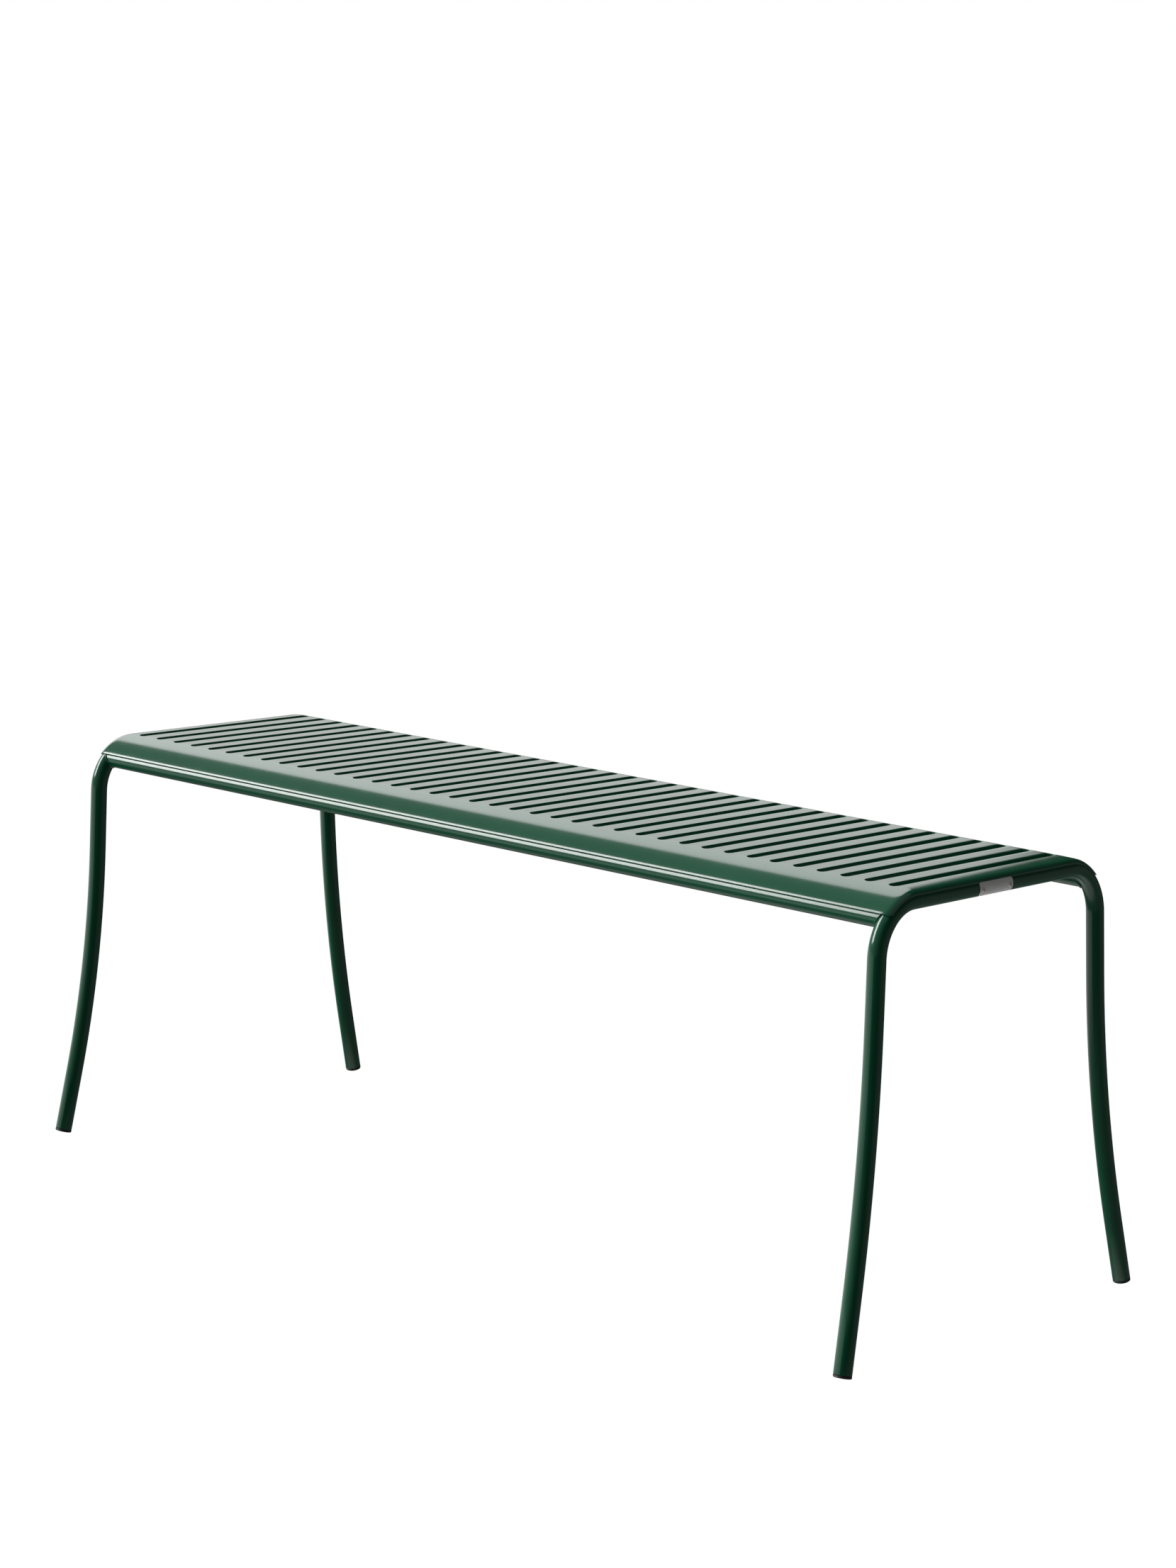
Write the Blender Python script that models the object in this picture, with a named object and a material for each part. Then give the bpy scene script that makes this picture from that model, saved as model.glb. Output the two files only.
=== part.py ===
"""Backless street bench: a slotted, pressed-steel seat on two bent-tube end frames.

Units are metres and +Z is up. X runs along the bench and Y across it.
The origin is on the floor, under the middle of the seat.
"""

from math import atan, cos, hypot, pi, radians, sin, sqrt, tan

import bmesh
import bpy
from mathutils import Vector

# Overall
SEAT_HEIGHT = 0.450        # floor to the slotted field
END_FRAME_X = 0.5528       # middle of the bench to an end frame's centre plane
FIT_GAP = 0.0003           # clearance between neighbouring pieces

# Tubes
TUBE_RADIUS = 0.009
TUBE_WALL = 0.0015
TUBE_SIDES = 16

# End frames: straight across, a bend, a short straight, a long sweep, a straight foot
CROSS_HALF = 0.1231        # middle of the cross tube to the start of its bend
BEND_RADIUS = 0.0515       # on the centreline
BEND_STEPS = 10
KNEE_LEAN = radians(2.5)   # lean from the vertical below the bend
UPPER_STRAIGHT = 0.064
SWEEP_RADIUS = 1.442
SWEEP_STEPS = 5
FOOT_LEAN = radians(12.75) # lean from the vertical at the floor
END_SPLAY = 0.19           # lean along the bench, as a share of the lean across it

# Seat sheet
SHEET = 0.0012
FIELD_RAISE = 0.001        # the slotted field stands this far above the wrapped edges
FIELD_HALF_X = 0.5399      # middle of the bench to where the sheet starts to curve down
EDGE_ANGLE = radians(45)   # how far each edge is bent down
SKIRT_STEPS = 6
END_CURVE_STEPS = 2
END_WRAP_STEPS = 4
RAISE_FADE = radians(16)   # the raise is gone this far round the long bends

# Slots, each with a lip rolled down all round
SLOT_COUNT = 38
SLOT_PITCH = 0.0288
SLOT_HALF_WIDTH = 0.0052   # inside the lip
LIP_ROUND = 0.0010
LIP_DEPTH = 0.006
SLOT_END_STEPS = 4

# Rails
RAIL_ANGLE = radians(44)   # where a rail meets the leg's bend, from the vertical
COPE_GAP = 0.0005          # left for the weld between a rail's shaped end and the leg

# Foot plugs
PLUG_CAP = 0.003
PLUG_STEM_LENGTH = 0.014
PLUG_STEM_RADIUS = TUBE_RADIUS - TUBE_WALL - FIT_GAP
PLUG_EASE = 0.0006         # bevel on the cap's and the stem's edges
PLUG_SIDES = 24

# Nameplate and its rivets, on the right end frame
PLATE_SHEET = 0.0006
PLATE_Y = -0.004            # its middle, a little in front of the bench's middle
PLATE_HALF_LENGTH = 0.026
PLATE_START = radians(51)  # from the vertical, round the tube
PLATE_END = radians(137)
PLATE_STEPS = 8
RIVET_SPREAD = 0.0215      # from the plate's middle
RIVET_ANGLE = radians(94)
RIVET_HOLE_RADIUS = 0.0015
RIVET_SHANK_RADIUS = 0.0012
RIVET_SHANK_LENGTH = 0.0045
RIVET_HEAD_RADIUS = 0.0024
RIVET_HEAD_HEIGHT = 0.0009
RIVET_GAP = 0.00015
RIVET_SIDES = 16

# Worked out from the above
EDGE_TOP = SEAT_HEIGHT - FIELD_RAISE             # top of the sheet where it lies on a tube
CROSS_Z = EDGE_TOP - SHEET - FIT_GAP - TUBE_RADIUS
BEND_Z = CROSS_Z - BEND_RADIUS                   # height of the bends' centres
SKIN_RADIUS = EDGE_TOP - BEND_Z                  # sheet's outer face round the long bends
WRAP_RADIUS = TUBE_RADIUS + FIT_GAP + SHEET      # sheet's outer face round an end tube
SKIRT_STEP = SKIN_RADIUS * EDGE_ANGLE / SKIRT_STEPS
END_REACH = END_FRAME_X - FIELD_HALF_X
END_TILT = 2 * atan(FIELD_RAISE / END_REACH)     # tilt where the end curve meets the wrap
END_CURVE_RADIUS = END_REACH / sin(END_TILT) + WRAP_RADIUS


def clear_scene():
    for thing in list(bpy.data.objects):
        bpy.data.objects.remove(thing, do_unlink=True)


def paint(name, colour, roughness, metallic=0.0):
    """A Principled BSDF material with the given linear colour."""
    material = bpy.data.materials.new(name)
    material.use_nodes = True
    shader = material.node_tree.nodes["Principled BSDF"]
    shader.inputs["Base Color"].default_value = (*colour, 1.0)
    shader.inputs["Roughness"].default_value = roughness
    shader.inputs["Metallic"].default_value = metallic
    return material


def add_object(name, bm, material):
    """Turns a bmesh into a named object in the scene, shaded smooth across its gentle edges."""
    mesh = bpy.data.meshes.new(name)
    bm.to_mesh(mesh)
    bm.free()
    mesh.materials.append(material)
    mesh.shade_smooth()
    mesh.set_sharp_from_angle(angle=radians(35))
    thing = bpy.data.objects.new(name, mesh)
    bpy.context.scene.collection.objects.link(thing)
    return thing


def thicken(thing, thickness):
    """Gives a skin its thickness, inwards from the face that was drawn."""
    wall = thing.modifiers.new("wall", "SOLIDIFY")
    wall.thickness = thickness
    wall.offset = -1.0
    wall.use_even_offset = True
    wall.use_rim = True


def cut(thing, cutter):
    hole = thing.modifiers.new("hole", "BOOLEAN")
    hole.operation = "DIFFERENCE"
    hole.solver = "EXACT"
    hole.object = cutter


def join_rings(bm, rings, closed=True):
    """Faces between neighbouring rings of vertices."""
    for first, second in zip(rings, rings[1:]):
        count = len(first)
        for i in range(count if closed else count - 1):
            j = (i + 1) % count
            bm.faces.new((first[i], first[j], second[j], second[i]))


def face_outwards(bm, towards):
    """Turns every face so that the skin's first face looks along the given direction."""
    bmesh.ops.recalc_face_normals(bm, faces=bm.faces)
    bm.faces.ensure_lookup_table()
    if bm.faces[0].normal.dot(towards) < 0:
        bmesh.ops.reverse_faces(bm, faces=bm.faces)


def lathe(name, profile, sides, place, axis, material):
    """A closed turned solid. The profile holds (radius, distance along the axis), its ends on the axis."""
    bm = bmesh.new()
    turn = axis.to_track_quat("Z", "Y")
    rings = []
    for radius, along in profile[1:-1]:
        angles = [2 * pi * i / sides for i in range(sides)]
        spots = [Vector((radius * cos(a), radius * sin(a), along)) for a in angles]
        rings.append([bm.verts.new(place + turn @ spot) for spot in spots])
    join_rings(bm, rings)
    for ring, (_, along) in ((rings[0], profile[0]), (rings[-1], profile[-1])):
        tip = bm.verts.new(place + turn @ Vector((0, 0, along)))
        for i in range(sides):
            bm.faces.new((ring[i], ring[(i + 1) % sides], tip))
    bmesh.ops.recalc_face_normals(bm, faces=bm.faces)
    return add_object(name, bm, material)


# ---------------------------------------------------------------- end frames


def leg_outline():
    """(y, z) points down a leg's centreline, from the end of the straight cross tube to the foot."""
    points = []
    for i in range(BEND_STEPS + 1):
        turned = (pi / 2 - KNEE_LEAN) * i / BEND_STEPS
        points.append((CROSS_HALF + BEND_RADIUS * sin(turned), BEND_Z + BEND_RADIUS * cos(turned)))
    y, z = points[-1]
    y += UPPER_STRAIGHT * sin(KNEE_LEAN)
    z -= UPPER_STRAIGHT * cos(KNEE_LEAN)
    for i in range(SWEEP_STEPS + 1):
        lean = KNEE_LEAN + (FOOT_LEAN - KNEE_LEAN) * i / SWEEP_STEPS
        points.append((y + SWEEP_RADIUS * (cos(KNEE_LEAN) - cos(lean)),
                       z - SWEEP_RADIUS * (sin(lean) - sin(KNEE_LEAN))))
    y, z = points[-1]
    drop = z - tube_end_height()
    points.append((y + drop * tan(FOOT_LEAN), z - drop))
    return points


def foot_tilt():
    """A foot's lean from the vertical, across and along the bench together."""
    return atan(tan(FOOT_LEAN) * sqrt(1 + END_SPLAY ** 2))


def tube_end_height():
    """Height of the centre of a tube's cut end when its plug's lowest edge is on the floor."""
    return PLUG_CAP * cos(foot_tilt()) + (TUBE_RADIUS - PLUG_EASE) * sin(foot_tilt())


def knee_y():
    return CROSS_HALF + BEND_RADIUS * cos(KNEE_LEAN)


def leg_points(side_x, side_y):
    """Centreline of one leg in space. Below the knee it also leans outwards along the bench."""
    points = []
    for y, z in leg_outline():
        x = END_FRAME_X + END_SPLAY * max(0.0, y - knee_y())
        points.append(Vector((side_x * x, side_y * y, z)))
    return points


def ring_at(bm, centre, along, radius, sides):
    """A ring of vertices square to a tube that never runs along X."""
    across = Vector((1, 0, 0))
    across = (across - across.dot(along) * along).normalized()
    up = along.cross(across)
    angles = [2 * pi * i / sides for i in range(sides)]
    return [bm.verts.new(centre + radius * (cos(a) * across + sin(a) * up)) for a in angles]


def tube_along(bm, points, radius, sides):
    """An open tube skin through the points, with square ends and mitred joints."""
    rings = []
    last = len(points) - 1
    for i, point in enumerate(points):
        before = (point - points[max(i - 1, 0)]).normalized()
        after = (points[min(i + 1, last)] - point).normalized()
        along = (before + after).normalized()
        rings.append(ring_at(bm, point, along, radius, sides))
    join_rings(bm, rings)
    face_outwards(bm, rings[0][0].co - points[0])


def leg_frame(name, side_x, material):
    front = leg_points(side_x, -1)
    back = leg_points(side_x, 1)
    bm = bmesh.new()
    tube_along(bm, list(reversed(front)) + back, TUBE_RADIUS, TUBE_SIDES)
    frame = add_object(name, bm, material)
    thicken(frame, TUBE_WALL)
    return frame


# ---------------------------------------------------------------- rails


def rail(name, side_y, material):
    """A straight tube between the end frames, its ends coped to fit the legs' bends."""
    bm = bmesh.new()
    rings = []
    for side_x, radius in ((-1, TUBE_RADIUS - TUBE_WALL), (-1, TUBE_RADIUS), (1, TUBE_RADIUS),
                           (1, TUBE_RADIUS - TUBE_WALL)):
        ring = []
        for i in range(TUBE_SIDES):
            angle = 2 * pi * i / TUBE_SIDES
            out = BEND_RADIUS + radius * cos(angle)
            along = radius * sin(angle)
            off_bend = hypot(out, along) - BEND_RADIUS
            reach = END_FRAME_X - sqrt((TUBE_RADIUS + COPE_GAP) ** 2 - off_bend ** 2)
            y = CROSS_HALF + out * sin(RAIL_ANGLE) + along * cos(RAIL_ANGLE)
            z = BEND_Z + out * cos(RAIL_ANGLE) - along * sin(RAIL_ANGLE)
            ring.append(bm.verts.new((side_x * reach, side_y * y, z)))
        rings.append(ring)
    join_rings(bm, rings + rings[:1])
    bmesh.ops.recalc_face_normals(bm, faces=bm.faces)
    return add_object(name, bm, material)


# ---------------------------------------------------------------- seat


def end_wrap_drop(x):
    """How far the sheet has dropped where it lies round an end tube."""
    past = abs(x) - END_FRAME_X
    return WRAP_RADIUS - sqrt(WRAP_RADIUS ** 2 - past ** 2) if past > 0 else 0.0


def field_height(x):
    """Height of the skin above the wrapped edges: a flat field, then a slow curve down to the end tube."""
    past = abs(x) - FIELD_HALF_X
    if past <= 0:
        return FIELD_RAISE
    if abs(x) >= END_FRAME_X + WRAP_RADIUS * sin(END_TILT) - 1e-9:
        return -end_wrap_drop(x)
    return FIELD_RAISE - (END_CURVE_RADIUS - sqrt(END_CURVE_RADIUS ** 2 - past ** 2))


def skin_point(x, s, depth):
    """A point of the seat. s is measured from the middle over the sheet's face, depth straight into it."""
    turned = max(0.0, abs(s) - CROSS_HALF) / SKIN_RADIUS
    kept = max(0.0, 1 - turned / RAISE_FADE)
    height = kept * field_height(x) - (1 - kept) * end_wrap_drop(x) - depth
    if not turned:
        return Vector((x, s, EDGE_TOP + height))
    side = 1 if s > 0 else -1
    reach = SKIN_RADIUS + height
    return Vector((x, side * (CROSS_HALF + reach * sin(turned)), BEND_Z + reach * cos(turned)))


class Skin:
    """A bmesh whose vertices are looked up by their place on the sheet, so neighbouring faces share them."""

    def __init__(self):
        self.bm = bmesh.new()
        self.known = {}

    def vertex(self, x, s, depth=0.0):
        key = (round(x, 6), round(s, 6), round(depth, 6))
        if key not in self.known:
            self.known[key] = self.bm.verts.new(skin_point(x, s, depth))
        return self.known[key]

    def face(self, *places):
        self.bm.faces.new([self.vertex(*place) for place in places])

    def grid(self, columns, rows):
        for x0, x1 in zip(columns, columns[1:]):
            for s0, s1 in zip(rows, rows[1:]):
                self.face((x0, s0), (x1, s0), (x1, s1), (x0, s1))


def slot_outline(middle, half_width, depth):
    """Places round a slot, anticlockwise from its +X side at the back."""
    places = []
    for side, start in ((1, 0.0), (-1, pi)):
        for i in range(SLOT_END_STEPS + 1):
            angle = start + pi * i / SLOT_END_STEPS
            x = middle + half_width * cos(angle)
            places.append((x, side * CROSS_HALF + half_width * sin(angle), depth))
    return places


def slot_cell(skin, left, middle, right):
    """The flat sheet round one slot and the slot's lip."""
    edge = CROSS_HALF + SKIRT_STEP
    mouth = slot_outline(middle, SLOT_HALF_WIDTH + LIP_ROUND, 0.0)
    throat = slot_outline(middle, SLOT_HALF_WIDTH, LIP_ROUND)
    foot = slot_outline(middle, SLOT_HALF_WIDTH, LIP_DEPTH)
    for outer, inner in ((mouth, throat), (throat, foot)):
        for i in range(len(outer)):
            j = (i + 1) % len(outer)
            skin.face(outer[i], outer[j], inner[j], inner[i])
    half = SLOT_END_STEPS // 2
    for side, end in ((1, mouth[:SLOT_END_STEPS + 1]), (-1, mouth[SLOT_END_STEPS + 1:])):
        first, second = (right, left) if side > 0 else (left, right)
        skin.face((first, side * CROSS_HALF), (first, side * edge), end[0])
        for i in range(half):
            skin.face((first, side * edge), end[i + 1], end[i])
            skin.face((second, side * edge), end[half + i + 1], end[half + i])
        skin.face((first, side * edge), (second, side * edge), end[half])
        skin.face((second, side * edge), (second, side * CROSS_HALF), end[-1])
    back, front = SLOT_END_STEPS, SLOT_END_STEPS + 1
    skin.face((left, -CROSS_HALF), mouth[front], mouth[back], (left, CROSS_HALF))
    skin.face(mouth[-1], (right, -CROSS_HALF), (right, CROSS_HALF), mouth[0])


def end_columns():
    """X places from the edge of the slotted field out to the edge of the sheet."""
    curve = [FIELD_HALF_X + END_CURVE_RADIUS * sin(END_TILT * i / END_CURVE_STEPS)
             for i in range(END_CURVE_STEPS + 1)]
    step = (EDGE_ANGLE - END_TILT) / END_WRAP_STEPS
    wrap = [END_FRAME_X + WRAP_RADIUS * sin(END_TILT + step * i) for i in range(1, END_WRAP_STEPS + 1)]
    return curve + wrap


def seat_panel(material):
    skin = Skin()
    between = [SLOT_PITCH * (i - SLOT_COUNT / 2) for i in range(1, SLOT_COUNT)]
    sides = [-FIELD_HALF_X] + between + [FIELD_HALF_X]
    for i in range(SLOT_COUNT):
        middle = SLOT_PITCH * (i - (SLOT_COUNT - 1) / 2)
        slot_cell(skin, sides[i], middle, sides[i + 1])
    right_end = end_columns()
    left_end = [-x for x in reversed(right_end)]
    skirt = [CROSS_HALF + SKIRT_STEP * i for i in range(1, SKIRT_STEPS + 1)]
    back_rows = [CROSS_HALF, skirt[0]]
    front_rows = [-s for s in reversed(back_rows)]
    for end in (left_end, right_end):
        skin.grid(end, front_rows + back_rows)
    columns = left_end[:-1] + sides + right_end[1:]
    skin.grid(columns, skirt)
    skin.grid(columns, [-s for s in reversed(skirt)])
    face_outwards(skin.bm, Vector((0, 0, 1)))
    seat = add_object("seat_panel", skin.bm, material)
    thicken(seat, SHEET)
    return seat


# ---------------------------------------------------------------- small parts


def foot_plug(name, side_x, side_y, material):
    """A turned plug: a stem inside the tube and a cap over its cut end."""
    points = leg_points(side_x, side_y)
    down = (points[-1] - points[-2]).normalized()
    profile = [(0, -PLUG_STEM_LENGTH), (PLUG_STEM_RADIUS - PLUG_EASE, -PLUG_STEM_LENGTH),
               (PLUG_STEM_RADIUS, PLUG_EASE - PLUG_STEM_LENGTH), (PLUG_STEM_RADIUS, FIT_GAP),
               (TUBE_RADIUS, FIT_GAP), (TUBE_RADIUS, PLUG_CAP - PLUG_EASE),
               (TUBE_RADIUS - PLUG_EASE, PLUG_CAP), (0, PLUG_CAP)]
    return lathe(name, profile, PLUG_SIDES, points[-1], down, material)


def round_tube(radius, angle, y):
    """A point round the right end tube, its angle measured from straight up towards the outside."""
    return Vector((END_FRAME_X + radius * sin(angle), y, CROSS_Z + radius * cos(angle)))


def nameplate(material):
    radius = TUBE_RADIUS + FIT_GAP + PLATE_SHEET
    ends = (PLATE_Y - PLATE_HALF_LENGTH, PLATE_Y + PLATE_HALF_LENGTH)
    bm = bmesh.new()
    rings = []
    for i in range(PLATE_STEPS + 1):
        angle = PLATE_START + (PLATE_END - PLATE_START) * i / PLATE_STEPS
        rings.append([bm.verts.new(round_tube(radius, angle, y)) for y in ends])
    join_rings(bm, rings, closed=False)
    face_outwards(bm, Vector((1, 0, 0)))
    plate = add_object("nameplate", bm, material)
    thicken(plate, PLATE_SHEET)
    return plate


def rivet_cutter(y):
    """A drill for one rivet hole, long enough to pass through the plate and the tube's wall."""
    outwards = round_tube(1, RIVET_ANGLE, 0) - round_tube(0, RIVET_ANGLE, 0)
    start = TUBE_RADIUS - 2 * TUBE_WALL
    end = TUBE_RADIUS + 2 * TUBE_WALL
    profile = [(0, start), (RIVET_HOLE_RADIUS, start), (RIVET_HOLE_RADIUS, end), (0, end)]
    place = round_tube(0, 0, y)
    cutter = lathe("rivet_drill", profile, RIVET_SIDES, place, outwards, paint("drill", (1, 0, 0), 0.5))
    cutter.hide_render = True
    cutter.display_type = "WIRE"
    return cutter


def rivet(name, y, material):
    outwards = round_tube(1, RIVET_ANGLE, 0) - round_tube(0, RIVET_ANGLE, 0)
    seat = TUBE_RADIUS + FIT_GAP + PLATE_SHEET + RIVET_GAP
    top = seat + RIVET_HEAD_HEIGHT
    dome = [(RIVET_HEAD_RADIUS * cos(pi / 2 * i / 4), seat + RIVET_HEAD_HEIGHT * sin(pi / 2 * i / 4))
            for i in range(4)]
    profile = [(0, seat - RIVET_SHANK_LENGTH), (RIVET_SHANK_RADIUS, seat - RIVET_SHANK_LENGTH),
               (RIVET_SHANK_RADIUS, seat)] + dome + [(0, top)]
    return lathe(name, profile, RIVET_SIDES, round_tube(0, 0, y), outwards, material)


def build():
    clear_scene()
    green = (0.003, 0.062, 0.031)
    seat_panel(paint("seat_green_coat", green, 0.2))
    left = leg_frame("left_leg_frame", -1, paint("left_frame_green_coat", green, 0.2))
    right = leg_frame("right_leg_frame", 1, paint("right_frame_green_coat", green, 0.2))
    rail("front_rail", -1, paint("front_rail_green_coat", green, 0.2))
    rail("back_rail", 1, paint("back_rail_green_coat", green, 0.2))
    for end, side_x in (("left", -1), ("right", 1)):
        for face, side_y in (("front", -1), ("back", 1)):
            plug_paint = paint(f"{face}_{end}_plug_plastic", (0.01, 0.01, 0.01), 0.55)
            foot_plug(f"foot_plug_{face}_{end}", side_x, side_y, plug_paint)
    plate = nameplate(paint("plate_aluminium", (0.62, 0.6, 0.59), 0.4, 1.0))
    for face, side_y in (("front", -1), ("back", 1)):
        y = PLATE_Y + side_y * RIVET_SPREAD
        drill = rivet_cutter(y)
        cut(plate, drill)
        cut(right, drill)
        rivet(f"nameplate_rivet_{face}", y, paint(f"{face}_rivet_aluminium", (0.5, 0.5, 0.5), 0.4, 1.0))


build()
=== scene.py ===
"""Looks for the backless bench: fine meshes, materials, camera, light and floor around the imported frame.

Units are metres and +Z is up. X runs along the bench and Y across it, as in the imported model.
"""

from math import atan, cos, hypot, pi, radians, sin, sqrt, tan

import bmesh
import bpy
from mathutils import Matrix, Vector


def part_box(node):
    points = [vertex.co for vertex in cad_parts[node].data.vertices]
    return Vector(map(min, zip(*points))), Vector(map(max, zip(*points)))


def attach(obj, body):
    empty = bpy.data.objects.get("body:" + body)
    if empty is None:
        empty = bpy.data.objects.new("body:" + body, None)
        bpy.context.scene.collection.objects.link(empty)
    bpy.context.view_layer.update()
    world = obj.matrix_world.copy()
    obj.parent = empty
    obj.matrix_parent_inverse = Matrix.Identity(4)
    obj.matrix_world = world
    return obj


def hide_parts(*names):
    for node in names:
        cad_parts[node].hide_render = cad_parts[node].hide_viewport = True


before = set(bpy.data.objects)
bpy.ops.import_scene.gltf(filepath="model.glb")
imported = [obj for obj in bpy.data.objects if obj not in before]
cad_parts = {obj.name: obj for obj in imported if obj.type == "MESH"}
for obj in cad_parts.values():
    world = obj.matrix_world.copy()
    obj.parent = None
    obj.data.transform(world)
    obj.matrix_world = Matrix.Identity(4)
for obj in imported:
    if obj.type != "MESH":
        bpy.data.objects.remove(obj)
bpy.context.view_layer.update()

# Shape of the end frames and of the sheet, as in the CAD source
BEND_RADIUS = 0.0515
KNEE_LEAN = radians(2.5)
UPPER_STRAIGHT = 0.064
SWEEP_RADIUS = 1.442
FOOT_LEAN = radians(12.75)
END_SPLAY = 0.19
TUBE_WALL = 0.0015
TUBE_EASE = 0.0002             # round along a tube's cut edges
SHEET = 0.0012
SHEET_EASE = 0.0003
FIT_GAP = 0.0003
FIELD_RAISE = 0.001
FIELD_HALF_X = 0.5399
EDGE_ANGLE = radians(45)
RAISE_FADE = radians(16)
RAIL_ANGLE = radians(44)
COPE_GAP = 0.0005
SLOT_COUNT = 38
SLOT_PITCH = 0.0288
SLOT_HALF_WIDTH = 0.0052
LIP_ROUND = 0.001
LIP_DEPTH = 0.006
PLUG_CAP = 0.003
PLUG_EASE = 0.0006
PLATE_SHEET = 0.0006
PLATE_EASE = 0.00012
PLATE_CORNER = 0.0022
PLATE_START = radians(51)
PLATE_END = radians(137)
RIVET_ANGLE = radians(94)

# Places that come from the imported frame
RAIL_LOW, RAIL_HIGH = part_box("front_rail")
FRAME_LOW, FRAME_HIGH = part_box("right_leg_frame")
_, SEAT_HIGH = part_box("seat_panel")
PLATE_LOW, PLATE_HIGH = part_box("nameplate")
TUBE_RADIUS = (RAIL_HIGH.z - RAIL_LOW.z) / 2
END_FRAME_X = FRAME_LOW.x + TUBE_RADIUS
CROSS_Z = FRAME_HIGH.z - TUBE_RADIUS
BEND_Z = CROSS_Z - BEND_RADIUS
EDGE_TOP = SEAT_HIGH.z - FIELD_RAISE
SKIN_RADIUS = EDGE_TOP - BEND_Z
WRAP_RADIUS = TUBE_RADIUS + FIT_GAP + SHEET
RAIL_Y = (RAIL_LOW.y + RAIL_HIGH.y) / 2
CROSS_HALF = -RAIL_Y - BEND_RADIUS * sin(RAIL_ANGLE)
END_REACH = END_FRAME_X - FIELD_HALF_X
END_TILT = 2 * atan(FIELD_RAISE / END_REACH)
END_CURVE_RADIUS = END_REACH / sin(END_TILT) + WRAP_RADIUS

# Fineness of the meshes
TUBE_SIDES = 48
BEND_STEPS = 28
SWEEP_STEPS = 16
SKIRT_STEP_ANGLE = radians(2.5)
SLOT_END_STEPS = 12
LIP_STEPS = 4
END_CURVE_STEPS = 5
END_WRAP_STEPS = 14
PLUG_SIDES = 64
PLUG_EASE_STEPS = 5
RIVET_SIDES = 48
PLATE_LENGTH_STEPS = 12
CELL_END = 0.009               # from the start of the bend to the end of a slot's own patch of skin
PATCH_SHARES = (0.75, 0.5, 0.25, 0.0)
END_SEAM_ANGLE = radians(10)   # round a tube, from the sheet's edge to where the weld's fillet ends
RAIL_SEAM_ANGLE = radians(6)
SEAM_OVERLAP = radians(2)
SEAM_STEPS = 8
SEAM_LIFT = 0.00003            # above the sheet's outer face, so that the two don't share a surface
SEAM_ROOT = 0.0002             # below the tube's outer face
SEAM_STRAIGHT_STEPS = 12
SEAM_BEND_STEPS = 14

# Camera and studio
CAMERA_PLACE = Vector((2.5673, -2.7678, 1.1026))
CAMERA_YAW = radians(42.497)
CAMERA_PITCH = radians(9.694)
CAMERA_ROLL = radians(-0.335)
FRAME_SHEAR = 0.0294
FOCAL_WIDTHS = 3.092          # focal length as a share of the picture's width
SENSOR_WIDTH = 36.0
ROOM_RADIUS = 30.0

# Paint, in linear colour
COAT_DEEP = (0.0014, 0.071, 0.032)
COAT_PALE = (0.0018, 0.079, 0.0365)
COAT_SPECK = (0.25, 0.32, 0.29, 1)
COAT_GLOSS = 0.15              # roughness
PLUG_BLACK = (0.009, 0.0092, 0.0095)
PLUG_SCUFF = (0.028, 0.028, 0.027)
METAL_SHARE = 0.3              # the rest of the light is scattered by the matt oxide
METAL_DARK = (0.90, 0.885, 0.875)
METAL_PALE = (1.0, 0.985, 0.975)
RIVET_BRIGHTNESS = 0.72
PLATE_BRIGHTNESS = 0.97
PLAIN_GRAIN = (1, 1, 1)
BRUSHED_GRAIN = (1, 0.03, 1)   # drawn out along Y

# Light by direction, in degrees: bearing from +Y towards +X, height from the horizon, roll from +Y over +Z.
# Brightness is measured against the white of the room.
WALL_RIGHT_EDGE = (-36, -34)   # bearing
WALL_LEFT_FADE = (45, 145)     # from -X towards -Y
WALL_TOP_EDGE = (60.4, 62.4)   # roll
WALL_RISE = (14, 54)
WALL_LIGHT = (1.0, 3.0)        # at either end of the rise
GAP_LIGHT = 0.42               # between the wall and the softbox
HORIZON_BAND = (-4, 4)         # height
HORIZON_RIGHT_EDGE = (-70, -50)  # bearing, below the wall
HORIZON_LIGHT = 1.05
SOFTBOX_START = (103, 107)     # roll
SOFTBOX_STOP = (156, 160)
SOFTBOX_LEFT = (-0.87, -0.83)  # share of the direction that is along X
SOFTBOX_RIGHT = (-0.60, -0.56)
SOFTBOX_LIGHT = 13.0
ROOM_LIGHT = 0.03
RIGHT_LIGHT = 0.12             # a pale wall behind on the right
RIGHT_LIGHT_START = (5, 25)    # bearing
RIGHT_LIGHT_STOP = (75, 100)
RIGHT_LIGHT_TOP = (5, 20)      # height
CEILING_START = (46, 58)       # height
CEILING_ACROSS = (-0.3, 0.3)   # share of the direction that is along X
CEILING_LIGHT = (0.2, 0.3)     # on the left and on the right
FLOOR_START = (-26, -13)       # height
FLOOR_DEPTH = (-62, -36)       # height, from the pale middle of the floor out to its dim edge
FLOOR_DIM = 0.13
FLOOR_ACROSS = (-0.6, 0.2)     # share of the direction that is along X
FLOOR_LIGHT = (0.95, 0.75)     # on the left and on the right


# ---------------------------------------------------------------- materials


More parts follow.
